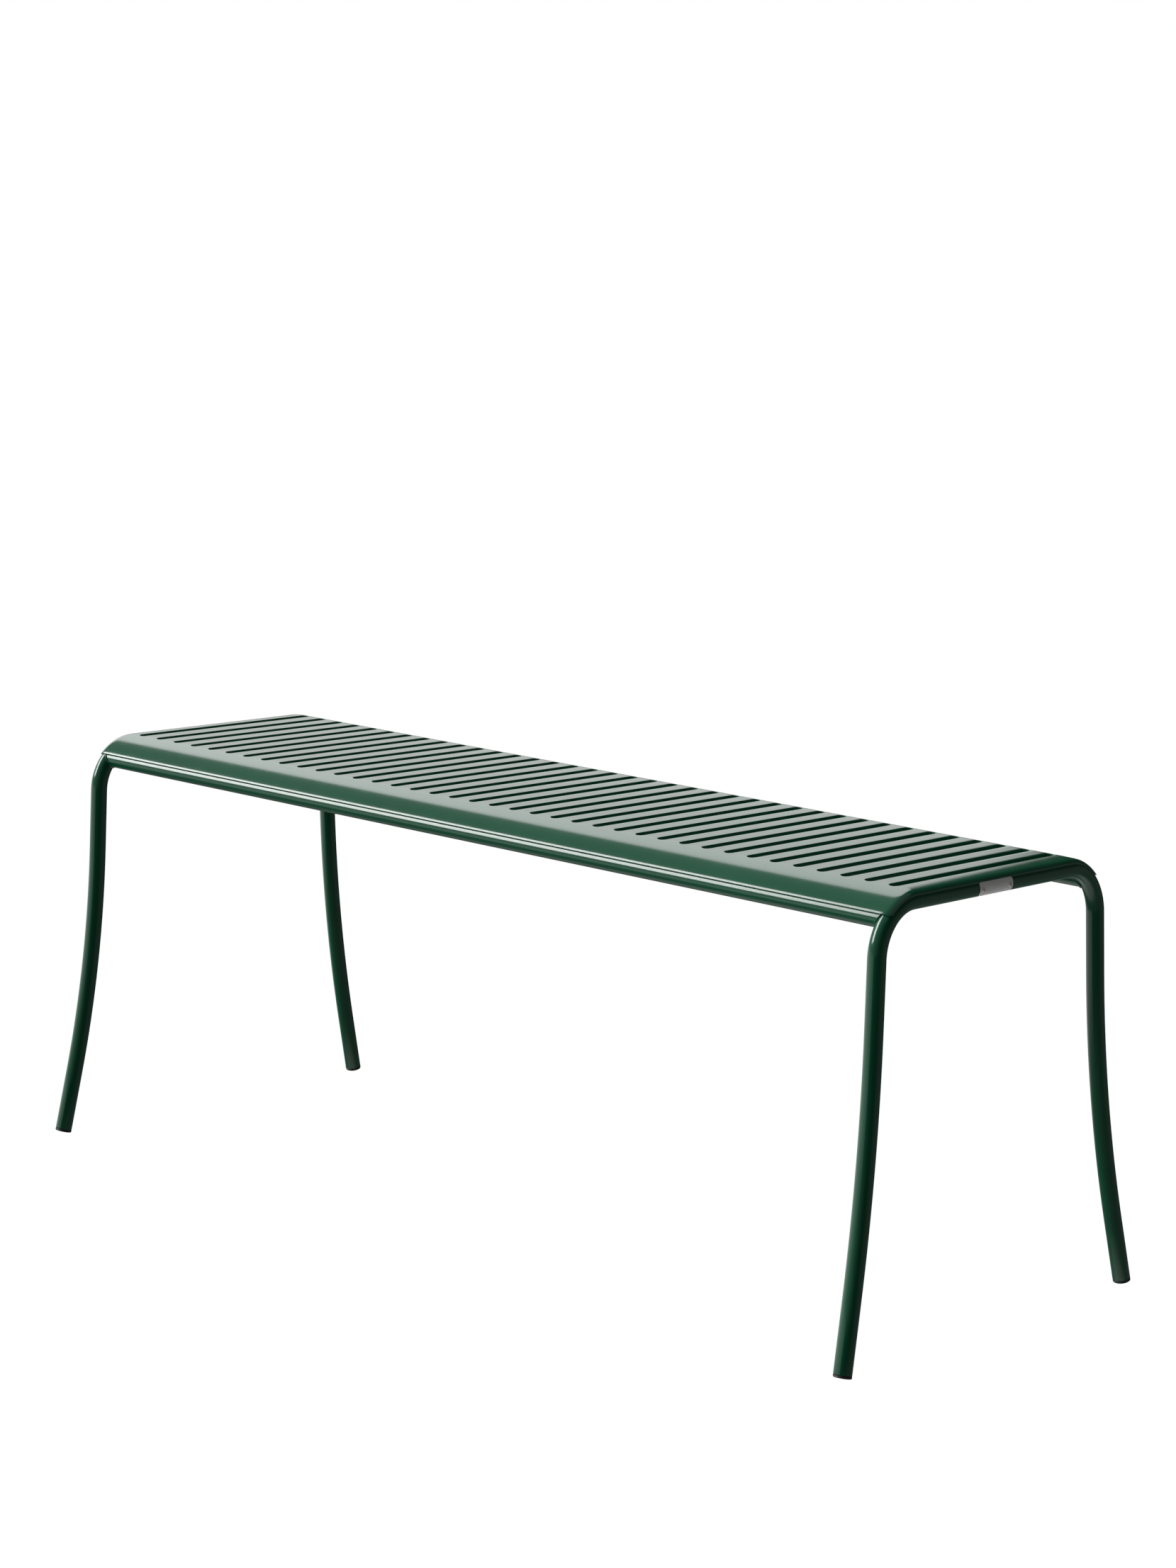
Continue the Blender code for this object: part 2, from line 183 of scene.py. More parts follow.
class Nodes:
    """A short way to add and link the nodes of one material."""

    def __init__(self, name):
        self.material = bpy.data.materials.new(name)
        self.material.use_nodes = True
        self.tree = self.material.node_tree
        self.shader = self.tree.nodes["Principled BSDF"]
        self.place = self.add("ShaderNodeTexCoord").outputs["Object"]

    def add(self, kind, **settings):
        node = self.tree.nodes.new(kind)
        for key, value in settings.items():
            setattr(node, key, value)
        return node

    def link(self, source, target):
        self.tree.links.new(source, target)

    def noise(self, scale, detail=3.0, stretch=(1, 1, 1)):
        """Noise from 0 to 1. The scale is in features per metre."""
        mapping = self.add("ShaderNodeMapping")
        mapping.inputs["Scale"].default_value = stretch
        self.link(self.place, mapping.inputs["Vector"])
        noise = self.add("ShaderNodeTexNoise")
        noise.inputs["Scale"].default_value = scale
        noise.inputs["Detail"].default_value = detail
        self.link(mapping.outputs["Vector"], noise.inputs["Vector"])
        return noise.outputs["Fac"]

    def spread(self, source, low, high, start=0.3, stop=0.7):
        """Maps a noise to a range of numbers."""
        spread = self.add("ShaderNodeMapRange")
        spread.inputs["From Min"].default_value = start
        spread.inputs["From Max"].default_value = stop
        spread.inputs["To Min"].default_value = low
        spread.inputs["To Max"].default_value = high
        self.link(source, spread.inputs["Value"])
        return spread.outputs["Result"]

    def between(self, source, first, second):
        """Mixes two colours by a number from 0 to 1."""
        mix = self.add("ShaderNodeMix", data_type="RGBA")
        mix.inputs["A"].default_value = (*first, 1)
        mix.inputs["B"].default_value = (*second, 1)
        self.link(source, mix.inputs["Factor"])
        return mix.outputs["Result"]

    def bump(self, source, height, below=None):
        bump = self.add("ShaderNodeBump")
        bump.inputs["Strength"].default_value = 1.0
        bump.inputs["Distance"].default_value = height
        self.link(source, bump.inputs["Height"])
        if below:
            self.link(below, bump.inputs["Normal"])
        return bump.outputs["Normal"]


def powder_coat(name, gloss):
    """Dark green satin powder coat: soft orange peel, faint clouding, specks and an uneven gloss."""
    gloss_spread = 0.015
    peel_height, grain_height = 0.000004, 0.0000006
    nodes = Nodes(name)
    clouds = nodes.spread(nodes.noise(9, 4), 0, 1)
    colour = nodes.between(clouds, COAT_DEEP, COAT_PALE)
    specks = nodes.spread(nodes.noise(900, 2), 0, 0.02, start=0.66, stop=0.8)
    mix = nodes.add("ShaderNodeMix", data_type="RGBA")
    mix.inputs["B"].default_value = COAT_SPECK
    nodes.link(colour, mix.inputs["A"])
    nodes.link(specks, mix.inputs["Factor"])
    nodes.link(mix.outputs["Result"], nodes.shader.inputs["Base Color"])
    rough = nodes.spread(nodes.noise(60, 3), gloss - gloss_spread, gloss + gloss_spread)
    nodes.link(rough, nodes.shader.inputs["Roughness"])
    peel = nodes.bump(nodes.noise(420, 1), peel_height)
    nodes.link(nodes.bump(nodes.noise(2600, 1), grain_height, peel), nodes.shader.inputs["Normal"])
    nodes.shader.inputs["IOR"].default_value = 1.5
    return nodes.material


def plug_plastic(name):
    """Black moulded plastic, with a fine grain and scuffs that turn it a little grey."""
    nodes = Nodes(name)
    scuffs = nodes.spread(nodes.noise(350, 5), 0, 1, start=0.5, stop=0.75)
    colour = nodes.between(scuffs, PLUG_BLACK, PLUG_SCUFF)
    nodes.link(colour, nodes.shader.inputs["Base Color"])
    nodes.link(nodes.spread(nodes.noise(900, 3), 0.42, 0.6), nodes.shader.inputs["Roughness"])
    nodes.link(nodes.bump(nodes.noise(2200, 2), 0.00002), nodes.shader.inputs["Normal"])
    return nodes.material


def satin_aluminium(name, brightness, stretch):
    """Pale anodised aluminium with a fine brushed grain."""
    nodes = Nodes(name)
    nodes.shader.inputs["Metallic"].default_value = METAL_SHARE
    grain = nodes.noise(2600, 4, stretch)
    dark = tuple(brightness * share for share in METAL_DARK)
    pale = tuple(brightness * share for share in METAL_PALE)
    nodes.link(nodes.between(nodes.spread(grain, 0, 1), dark, pale), nodes.shader.inputs["Base Color"])
    nodes.link(nodes.spread(grain, 0.42, 0.55), nodes.shader.inputs["Roughness"])
    nodes.link(nodes.bump(grain, 0.000006), nodes.shader.inputs["Normal"])
    return nodes.material


# ---------------------------------------------------------------- mesh helpers


def add_piece(name, bm, material, node, sharp=40):
    """Puts a bmesh in the scene in place of a CAD node, riding on the one body."""
    mesh = bpy.data.meshes.new(name)
    bm.to_mesh(mesh)
    bm.free()
    mesh.materials.append(material)
    mesh.shade_smooth()
    mesh.set_sharp_from_angle(angle=radians(sharp))
    piece = bpy.data.objects.new(name, mesh)
    bpy.context.scene.collection.objects.link(piece)
    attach(piece, "root")
    if node:
        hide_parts(node)
    return piece


def thicken(piece, thickness, edge):
    """Gives a skin its thickness inwards, and small rounds along the edges that this makes."""
    wall = piece.modifiers.new("wall", "SOLIDIFY")
    wall.thickness = thickness
    wall.offset = -1.0
    wall.use_even_offset = True
    rounds = piece.modifiers.new("rounds", "BEVEL")
    rounds.width = edge
    rounds.segments = 2
    rounds.limit_method = "ANGLE"
    rounds.angle_limit = radians(60)


def join_rings(bm, rings, closed=True):
    for first, second in zip(rings, rings[1:]):
        count = len(first)
        for i in range(count if closed else count - 1):
            j = (i + 1) % count
            bm.faces.new((first[i], first[j], second[j], second[i]))


def face_outwards(bm, towards):
    bmesh.ops.recalc_face_normals(bm, faces=bm.faces)
    bm.faces.ensure_lookup_table()
    if bm.faces[0].normal.dot(towards) < 0:
        bmesh.ops.reverse_faces(bm, faces=bm.faces)


def lathe(bm, profile, sides, place, axis):
    """Adds a closed turned solid. The profile's points are (radius, distance along the axis)."""
    turn = axis.to_track_quat("Z", "Y")
    rings = []
    for radius, along in profile[1:-1]:
        angles = [2 * pi * i / sides for i in range(sides)]
        spots = [Vector((radius * cos(a), radius * sin(a), along)) for a in angles]
        rings.append([bm.verts.new(place + turn @ spot) for spot in spots])
    join_rings(bm, rings)
    for ring, (_, along) in ((rings[0], profile[0]), (rings[-1], profile[-1])):
        tip = bm.verts.new(place + turn @ Vector((0, 0, along)))
        for i in range(sides):
            bm.faces.new((ring[i], ring[(i + 1) % sides], tip))
    bmesh.ops.recalc_face_normals(bm, faces=bm.faces)


def rounded(corner_radius, corner_along, radius, start, stop, steps):
    """Profile points on an arc round (corner_radius, corner_along), its angles measured from straight out."""
    angles = [start + (stop - start) * i / steps for i in range(steps + 1)]
    return [(corner_radius + radius * cos(a), corner_along + radius * sin(a)) for a in angles]


# ---------------------------------------------------------------- tubes


def knee_y():
    return CROSS_HALF + BEND_RADIUS * cos(KNEE_LEAN)


def foot_tilt():
    return atan(tan(FOOT_LEAN) * sqrt(1 + END_SPLAY ** 2))


def frame_end_height():
    return PLUG_CAP * cos(foot_tilt()) + (TUBE_RADIUS - PLUG_EASE) * sin(foot_tilt())


def leg_points(side_x, side_y):
    """Centreline of one leg, from the end of the straight cross tube to the tube's cut end."""
    outline = []
    for i in range(BEND_STEPS + 1):
        turned = (pi / 2 - KNEE_LEAN) * i / BEND_STEPS
        outline.append((CROSS_HALF + BEND_RADIUS * sin(turned), BEND_Z + BEND_RADIUS * cos(turned)))
    y, z = outline[-1]
    y += UPPER_STRAIGHT * sin(KNEE_LEAN)
    z -= UPPER_STRAIGHT * cos(KNEE_LEAN)
    for i in range(SWEEP_STEPS + 1):
        lean = KNEE_LEAN + (FOOT_LEAN - KNEE_LEAN) * i / SWEEP_STEPS
        outline.append((y + SWEEP_RADIUS * (cos(KNEE_LEAN) - cos(lean)),
                        z - SWEEP_RADIUS * (sin(lean) - sin(KNEE_LEAN))))
    y, z = outline[-1]
    drop = z - frame_end_height()
    outline.append((y + drop * tan(FOOT_LEAN), z - drop))
    return [Vector((side_x * (END_FRAME_X + END_SPLAY * max(0.0, y - knee_y())), side_y * y, z))
            for y, z in outline]


def tube_skin(bm, points, radius, sides):
    """An open tube skin through the points, which never run along X."""
    rings = []
    last = len(points) - 1
    for i, point in enumerate(points):
        before = (point - points[max(i - 1, 0)]).normalized()
        after = (points[min(i + 1, last)] - point).normalized()
        along = (before + after).normalized()
        across = (Vector((1, 0, 0)) - along.x * along).normalized()
        up = along.cross(across)
        angles = [2 * pi * k / sides for k in range(sides)]
        rings.append([bm.verts.new(point + radius * (cos(a) * across + sin(a) * up)) for a in angles])
    join_rings(bm, rings)
    face_outwards(bm, rings[0][0].co - points[0])


def leg_frame(side, side_x, material):
    bm = bmesh.new()
    points = list(reversed(leg_points(side_x, -1))) + leg_points(side_x, 1)
    tube_skin(bm, points, TUBE_RADIUS, TUBE_SIDES)
    frame_piece = add_piece(f"{side}_frame_tube", bm, material, f"{side}_leg_frame")
    thicken(frame_piece, TUBE_WALL, TUBE_EASE)


def cope_point(side_x, side_y, radius, angle, gap):
    """A point on a rail's end, where its side line meets the leg's bend grown by the gap."""
    out = BEND_RADIUS + radius * cos(angle)
    along = radius * sin(angle)
    off_bend = hypot(out, along) - BEND_RADIUS
    reach = END_FRAME_X - sqrt((TUBE_RADIUS + gap) ** 2 - off_bend ** 2)
    y = CROSS_HALF + out * sin(RAIL_ANGLE) + along * cos(RAIL_ANGLE)
    z = BEND_Z + out * cos(RAIL_ANGLE) - along * sin(RAIL_ANGLE)
    return Vector((side_x * reach, side_y * y, z))


def rail(side, side_y, material):
    bm = bmesh.new()
    angles = [2 * pi * i / TUBE_SIDES for i in range(TUBE_SIDES)]
    inner = TUBE_RADIUS - TUBE_WALL
    ends = ((-1, inner), (-1, TUBE_RADIUS), (1, TUBE_RADIUS), (1, inner))
    rings = [[bm.verts.new(cope_point(x, side_y, radius, a, COPE_GAP)) for a in angles] for x, radius in ends]
    join_rings(bm, rings + rings[:1])
    bmesh.ops.recalc_face_normals(bm, faces=bm.faces)
    add_piece(f"{side}_rail_tube", bm, material, f"{side}_rail")


def weld_bead(name, side_x, side_y, material):
    """A small rippled bead round a rail's end, which closes the gap to the leg."""
    bm = bmesh.new()
    around, sides = 72, 10
    bead = 0.0011
    ripples, ripple_share = 30, 0.10
    step = 0.01                    # round the rail, to find which way the bead runs
    rings = []
    for i in range(around):
        angle = 2 * pi * i / around
        middle = cope_point(side_x, side_y, TUBE_RADIUS, angle, COPE_GAP)
        ahead = cope_point(side_x, side_y, TUBE_RADIUS, angle + step, COPE_GAP)
        along = (ahead - middle).normalized()
        across = Vector((side_x, 0, 0)) - side_x * along.x * along
        across.normalize()
        up = along.cross(across)
        size = bead * (1 + ripple_share * sin(ripples * angle))
        turns = [2 * pi * k / sides for k in range(sides)]
        rings.append([bm.verts.new(middle + size * (cos(a) * across + sin(a) * up)) for a in turns])
    join_rings(bm, rings + rings[:1])
    bmesh.ops.recalc_face_normals(bm, faces=bm.faces)
    add_piece(name, bm, material, None, 80)


# ---------------------------------------------------------------- seat


def end_wrap_drop(x):
    past = abs(x) - END_FRAME_X
    return WRAP_RADIUS - sqrt(WRAP_RADIUS ** 2 - past ** 2) if past > 0 else 0.0


def field_height(x):
    """Height of the skin above the wrapped edges: a flat field, then a slow curve down to the end tube."""
    past = abs(x) - FIELD_HALF_X
    if past <= 0:
        return FIELD_RAISE
    if abs(x) >= END_FRAME_X + WRAP_RADIUS * sin(END_TILT) - 1e-9:
        return -end_wrap_drop(x)
    return FIELD_RAISE - (END_CURVE_RADIUS - sqrt(END_CURVE_RADIUS ** 2 - past ** 2))


def skin_point(x, s, depth):
    """A point of the seat. s is measured from the middle over the sheet's face, depth straight into it."""
    turned = max(0.0, abs(s) - CROSS_HALF) / SKIN_RADIUS
    kept = max(0.0, 1 - turned / RAISE_FADE)
    kept = kept * kept * (3 - 2 * kept)
    height = kept * field_height(x) - (1 - kept) * end_wrap_drop(x) - depth
    if not turned:
        return Vector((x, s, EDGE_TOP + height))
    side = 1 if s > 0 else -1
    reach = SKIN_RADIUS + height
    return Vector((x, side * (CROSS_HALF + reach * sin(turned)), BEND_Z + reach * cos(turned)))


class Skin:
    """A bmesh whose vertices are looked up by their place on the sheet, so neighbouring faces share them."""

    def __init__(self):
        self.bm = bmesh.new()
        self.known = {}

    def vertex(self, x, s, depth=0.0):
        key = (round(x, 6), round(s, 6), round(depth, 6))
        if key not in self.known:
            self.known[key] = self.bm.verts.new(skin_point(x, s, depth))
        return self.known[key]

    def face(self, *places):
        self.bm.faces.new([self.vertex(*place) for place in places])

    def strip(self, first, second, closed=False):
        count = len(first)
        for i in range(count if closed else count - 1):
            j = (i + 1) % count
            self.face(first[i], first[j], second[j], second[i])

    def grid(self, columns, rows):
        for s0, s1 in zip(rows, rows[1:]):
            self.strip([(x, s0) for x in columns], [(x, s1) for x in columns])


def patch_columns(left, middle, right):
    """X places along the end of a slot's patch, from right to left."""
    rightwards = [middle + share * (right - middle) for share in PATCH_SHARES]
    leftwards = [middle + share * (left - middle) for share in reversed(PATCH_SHARES[:-1])]
    return [right] + rightwards + leftwards + [left]


def patch_edge(left, middle, right, side):
    """The edge of a patch round one end of a slot, anticlockwise from its start on the bend line."""
    first, last = (right, left) if side > 0 else (left, right)
    columns = patch_columns(left, middle, right)
    if side < 0:
        columns.reverse()
    near, half, far = (side * (CROSS_HALF + share * CELL_END) for share in (0, 0.5, 1))
    return [(first, near), (first, half)] + [(x, far) for x in columns] + [(last, half), (last, near)]


def slot_end(middle, half_width, depth, side):
    start = 0.0 if side > 0 else pi
    angles = [start + pi * i / SLOT_END_STEPS for i in range(SLOT_END_STEPS + 1)]
    return [(middle + half_width * cos(a), side * CROSS_HALF + half_width * sin(a), depth) for a in angles]


def slot_cell(skin, left, middle, right):
    """The skin round one slot, and the slot's rolled lip."""
    levels = []
    for i in range(LIP_STEPS + 1):
        turned = pi / 2 * i / LIP_STEPS
        levels.append((SLOT_HALF_WIDTH + LIP_ROUND * (1 - sin(turned)), LIP_ROUND * (1 - cos(turned))))
    levels.append((SLOT_HALF_WIDTH, LIP_DEPTH))
    outlines = [slot_end(middle, w, d, 1) + slot_end(middle, w, d, -1) for w, d in levels]
    for outer, inner in zip(outlines, outlines[1:]):
        skin.strip(outer, inner, closed=True)
    sides = {}
    for side in (1, -1):
        mouth = slot_end(middle, levels[0][0], 0.0, side)
        edge = patch_edge(left, middle, right, side)
        between = [((a[0] + b[0]) / 2, (a[1] + b[1]) / 2) for a, b in zip(mouth, edge)]
        skin.strip(mouth, between)
        skin.strip(between, edge)
        sides[side] = (mouth, between, edge)
    back, front = sides[1], sides[-1]
    for inner, outer in ((0, 1), (1, 2)):
        skin.face(front[inner][-1], front[outer][-1], back[outer][0], back[inner][0])
        skin.face(front[outer][0], front[inner][0], back[inner][-1], back[outer][-1])


def end_columns():
    """X places from the edge of the slotted field out to the edge of the sheet."""
    curve = [FIELD_HALF_X + END_CURVE_RADIUS * sin(END_TILT * i / END_CURVE_STEPS)
             for i in range(END_CURVE_STEPS + 1)]
    step = (EDGE_ANGLE - END_TILT) / END_WRAP_STEPS
    wrap = [END_FRAME_X + WRAP_RADIUS * sin(END_TILT + step * i) for i in range(1, END_WRAP_STEPS + 1)]
    return curve + wrap


def seat(material):
    skin = Skin()
    between = [SLOT_PITCH * (i - SLOT_COUNT / 2) for i in range(1, SLOT_COUNT)]
    sides = [-FIELD_HALF_X] + between + [FIELD_HALF_X]
    columns = [-x for x in reversed(end_columns())]
    for i in range(SLOT_COUNT):
        middle = SLOT_PITCH * (i - (SLOT_COUNT - 1) / 2)
        slot_cell(skin, sides[i], middle, sides[i + 1])
        columns += list(reversed(patch_columns(sides[i], middle, sides[i + 1])))[1:]
    right_end = end_columns()
    left_end = [-x for x in reversed(right_end)]
    columns += right_end[1:]
    patch = [CROSS_HALF + share * CELL_END for share in (0, 0.5, 1)]
    for end in (left_end, right_end):
        skin.grid(end, [-s for s in reversed(patch)] + patch)
    whole = SKIN_RADIUS * EDGE_ANGLE
    steps = round((whole - CELL_END) / (SKIN_RADIUS * SKIRT_STEP_ANGLE))
    skirt = [CROSS_HALF + CELL_END + (whole - CELL_END) * i / steps for i in range(steps + 1)]
    skin.grid(columns, skirt)
    skin.grid(columns, [-s for s in reversed(skirt)])
    face_outwards(skin.bm, Vector((0, 0, 1)))
    piece = add_piece("seat_sheet", skin.bm, material, "seat_panel")
    thicken(piece, SHEET, SHEET_EASE)


# ---------------------------------------------------------------- seams


def seam_outline(start, angle, high):
    """(angle, radius) round a tube: a fillet from a sheet's edge, at start, to the tube, and back inside."""
    fillet = []
    for i in range(SEAM_STEPS + 1):
        share = i / SEAM_STEPS
        fillet.append((start + angle * share, TUBE_RADIUS + (high - TUBE_RADIUS) * (1 - share) ** 2))
    root = TUBE_RADIUS - SEAM_ROOT
    inside = [(start + angle, root), (start - SEAM_OVERLAP, root)]
    return [(start - SEAM_OVERLAP, high)] + fillet + inside


def add_seam(name, rings, material):
    bm = bmesh.new()
    rings = [[bm.verts.new(spot) for spot in ring] for ring in rings]
    join_rings(bm, rings)
    for ring in (rings[0], rings[-1]):
        bm.faces.new(ring)
    bmesh.ops.recalc_face_normals(bm, faces=bm.faces)
    add_piece(name, bm, material, None, 50)


def end_seam(side, side_x, material):
    """The weld along the seat's end edge, ground smooth to the end tube and round its two bends."""
    outline = seam_outline(EDGE_ANGLE, END_SEAM_ANGLE, WRAP_RADIUS + SEAM_LIFT)
    turn = EDGE_ANGLE - SEAM_OVERLAP
    half = SEAM_STRAIGHT_STEPS // 2
    bend = [CROSS_HALF + SKIN_RADIUS * turn * i / SEAM_BEND_STEPS for i in range(1, SEAM_BEND_STEPS + 1)]
    straight = [CROSS_HALF * (i - half) / half for i in range(SEAM_STRAIGHT_STEPS + 1)]
    rings = []
    for s in [-place for place in reversed(bend)] + straight + bend:
        turned = max(0.0, abs(s) - CROSS_HALF) / SKIN_RADIUS
        ring = []
        for angle, radius in outline:
            x = side_x * (END_FRAME_X + radius * sin(angle))
            reach = BEND_RADIUS + radius * cos(angle)
            y = (1 if s > 0 else -1) * (CROSS_HALF + reach * sin(turned)) if turned else s
            ring.append(Vector((x, y, BEND_Z + reach * cos(turned))))
        rings.append(ring)
    add_seam(f"{side}_end_seam", rings, material)


def rail_seam(face, side_y, material):
    """The weld along the seat's long edge, ground smooth to the rail."""
    past = EDGE_ANGLE - RAIL_ANGLE
    start = atan(SKIN_RADIUS * sin(past) / (SKIN_RADIUS * cos(past) - BEND_RADIUS))
    reach = END_FRAME_X - TUBE_RADIUS / 2
    half = SEAM_STRAIGHT_STEPS
    outline = seam_outline(start, RAIL_SEAM_ANGLE, SKIN_RADIUS - BEND_RADIUS + SEAM_LIFT)
    rings = []
    for step in range(-half, half + 1):
        ring = []
        for angle, radius in outline:
            y = CROSS_HALF + BEND_RADIUS * sin(RAIL_ANGLE) + radius * sin(RAIL_ANGLE + angle)
            z = BEND_Z + BEND_RADIUS * cos(RAIL_ANGLE) + radius * cos(RAIL_ANGLE + angle)
            ring.append(Vector((reach * step / half, side_y * y, z)))
        rings.append(ring)
    add_seam(f"{face}_rail_seam", rings, material)


# ---------------------------------------------------------------- small parts


def foot_plug(face, end, side_x, side_y, material):
    """A turned plug with a rounded cap, a fine parting groove, a dished end face and a ribbed stem."""
    points = leg_points(side_x, side_y)
    down = (points[-1] - points[-2]).normalized()
    stem = TUBE_RADIUS - TUBE_WALL - FIT_GAP
    stem_end = -0.014
    rib_count, rib_pitch, first_rib = 4, 0.0026, -0.012
    rib_height, rib_peak, rib_end = 0.0006, 0.0004, 0.0015
    edge = 0.0003                  # bevel next to the tube's cut end
    groove, groove_half, groove_depth = 0.00125, 0.00015, 0.00012
    rim, dish, dish_slope = 0.003, 0.0004, 0.0005
    mark, mark_slope, mark_depth = 0.0012, 0.0004, 0.0001   # the moulding mark in the middle of the dish
    core = stem - rib_height
    profile = [(0, stem_end), (core - rib_height, stem_end), (core, stem_end + rib_height)]
    for i in range(rib_count):
        start = first_rib + rib_pitch * i
        profile += [(core, start), (stem, start + rib_peak), (core, start + rib_end)]
    profile += [(core, FIT_GAP), (TUBE_RADIUS - edge, FIT_GAP), (TUBE_RADIUS, FIT_GAP + edge),
                (TUBE_RADIUS, groove - groove_half), (TUBE_RADIUS - groove_depth, groove),
                (TUBE_RADIUS, groove + groove_half)]
    profile += rounded(TUBE_RADIUS - PLUG_EASE, PLUG_CAP - PLUG_EASE, PLUG_EASE, 0, pi / 2, PLUG_EASE_STEPS)
    profile += [(TUBE_RADIUS - rim, PLUG_CAP), (TUBE_RADIUS - rim - dish_slope, PLUG_CAP - dish),
                (mark + mark_slope, PLUG_CAP - dish), (mark, PLUG_CAP - mark_depth),
                (0, PLUG_CAP - mark_depth)]
    bm = bmesh.new()
    lathe(bm, profile, PLUG_SIDES, points[-1], down)
    add_piece(f"{face}_{end}_plug", bm, material, f"foot_plug_{face}_{end}")


def round_tube(radius, angle, y):
    """A point round the right end tube, its angle measured from straight up towards the outside."""
    return Vector((END_FRAME_X + radius * sin(angle), y, CROSS_Z + radius * cos(angle)))


def nameplate(material):
    """A blank plate rolled round the tube, with rounded corners."""
    radius = TUBE_RADIUS + FIT_GAP + PLATE_SHEET
    steps = 8
    half_arc = (PLATE_END - PLATE_START) * radius / 2
    middle = (PLATE_START + PLATE_END) / 2
    half_length = (PLATE_HIGH.y - PLATE_LOW.y) / 2
    middle_y = (PLATE_HIGH.y + PLATE_LOW.y) / 2
    inner_arc = half_arc - PLATE_CORNER
    corner_rows = [inner_arc + PLATE_CORNER * sin(pi / 2 * i / steps) for i in range(steps + 1)]
    inside_rows = [inner_arc * i / steps for i in range(steps)]
    arcs = inside_rows + corner_rows
    arcs = [-a for a in reversed(arcs[1:])] + arcs
    bm = bmesh.new()
    rings = []
    for arc in arcs:
        into = max(0.0, abs(arc) - inner_arc)
        reach = half_length - PLATE_CORNER + sqrt(max(0.0, PLATE_CORNER ** 2 - into ** 2))
        angle = middle + arc / radius
        shares = [2 * i / PLATE_LENGTH_STEPS - 1 for i in range(PLATE_LENGTH_STEPS + 1)]
        spots = [round_tube(radius, angle, middle_y + reach * share) for share in shares]
        rings.append([bm.verts.new(spot) for spot in spots])
    join_rings(bm, rings, closed=False)
    face_outwards(bm, Vector((1, 0, 0)))
    plate = add_piece("blank_nameplate", bm, material, "nameplate")
    thicken(plate, PLATE_SHEET, PLATE_EASE)


def rivet(face, side_y, material):
    """A low domed rivet head with the small hole of its drawn pin."""
    low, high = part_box(f"nameplate_rivet_{face}")
    outwards = round_tube(1, RIVET_ANGLE, 0) - round_tube(0, RIVET_ANGLE, 0)
    head = (high.y - low.y) / 2
    under = TUBE_RADIUS + FIT_GAP + PLATE_SHEET
    top = under + 0.00105
    sunk = under - 0.0001
    rim = under + 0.0002
    flat = 0.0009                  # radius of the dome's flat top
    pin, pin_top, pin_floor = 0.0007, top - 0.0001, top - 0.0006
    dome_steps = 8
    turns = [pi / 2 * i / dome_steps for i in range(1, dome_steps + 1)]
    dome = [(flat + (head - flat) * cos(turn), rim + (top - rim) * sin(turn)) for turn in turns]
    profile = [(0, sunk), (head, sunk), (head, rim)]
    profile += dome + [(pin, pin_top), (pin, pin_floor), (0, pin_floor)]
    bm = bmesh.new()
    lathe(bm, profile, RIVET_SIDES, round_tube(0, 0, (low.y + high.y) / 2), outwards)
    add_piece(f"{face}_rivet_head", bm, material, f"nameplate_rivet_{face}")


# ---------------------------------------------------------------- studio


def camera():
    """A long lens at the picture's angle. Its frame is sheared a little, as the picture's is."""
    ahead = Vector((-sin(CAMERA_YAW), cos(CAMERA_YAW), 0))
    forward = cos(CAMERA_PITCH) * ahead - sin(CAMERA_PITCH) * Vector((0, 0, 1))
    level = Vector((cos(CAMERA_YAW), sin(CAMERA_YAW), 0))
    down = forward.cross(level)
    right = cos(CAMERA_ROLL) * level + sin(CAMERA_ROLL) * down
    down = cos(CAMERA_ROLL) * down - sin(CAMERA_ROLL) * level
    sheared = right - FRAME_SHEAR * down
    columns = Matrix((sheared, -down, -forward)).transposed().to_4x4()
    lens = bpy.data.cameras.new("camera")
    lens.sensor_fit = "HORIZONTAL"
    lens.sensor_width = SENSOR_WIDTH
    lens.lens = FOCAL_WIDTHS * SENSOR_WIDTH
    lens.clip_end = 2 * ROOM_RADIUS
    stand = bpy.data.objects.new("camera_stand", None)
    holder = bpy.data.objects.new("camera", lens)
    for thing in (stand, holder):
        bpy.context.scene.collection.objects.link(thing)
    holder.parent = stand
    holder.matrix_parent_inverse = Matrix.Translation(CAMERA_PLACE) @ columns
    bpy.context.scene.camera = holder


def camera_only(name, bm, material):
    """A piece of the studio that is plain white to the camera, and that no light meets."""
    mesh = bpy.data.meshes.new(name)
    bm.to_mesh(mesh)
    bm.free()
    mesh.materials.append(material)
    thing = bpy.data.objects.new(name, mesh)
    bpy.context.scene.collection.objects.link(thing)
    thing.visible_diffuse = False
    thing.visible_glossy = False
    thing.visible_transmission = False
    thing.visible_volume_scatter = False
    thing.visible_shadow = False


def studio_room():
    """A pale floor and a pale dome round it, the same white, so that no horizon shows."""
    white = bpy.data.materials.new("studio_white")
    white.use_nodes = True
    shader = white.node_tree.nodes["Principled BSDF"]
    shader.inputs["Base Color"].default_value = (0, 0, 0, 1)
    shader.inputs["Roughness"].default_value = 1.0
    shader.inputs["Specular IOR Level"].default_value = 0.0
    shader.inputs["Emission Color"].default_value = (1, 1, 1, 1)
    shader.inputs["Emission Strength"].default_value = 1.0
    bm = bmesh.new()
    bmesh.ops.create_grid(bm, x_segments=1, y_segments=1, size=ROOM_RADIUS)
    camera_only("floor", bm, white)
    bm = bmesh.new()
    bmesh.ops.create_icosphere(bm, subdivisions=4, radius=ROOM_RADIUS)
    camera_only("backdrop", bm, white)


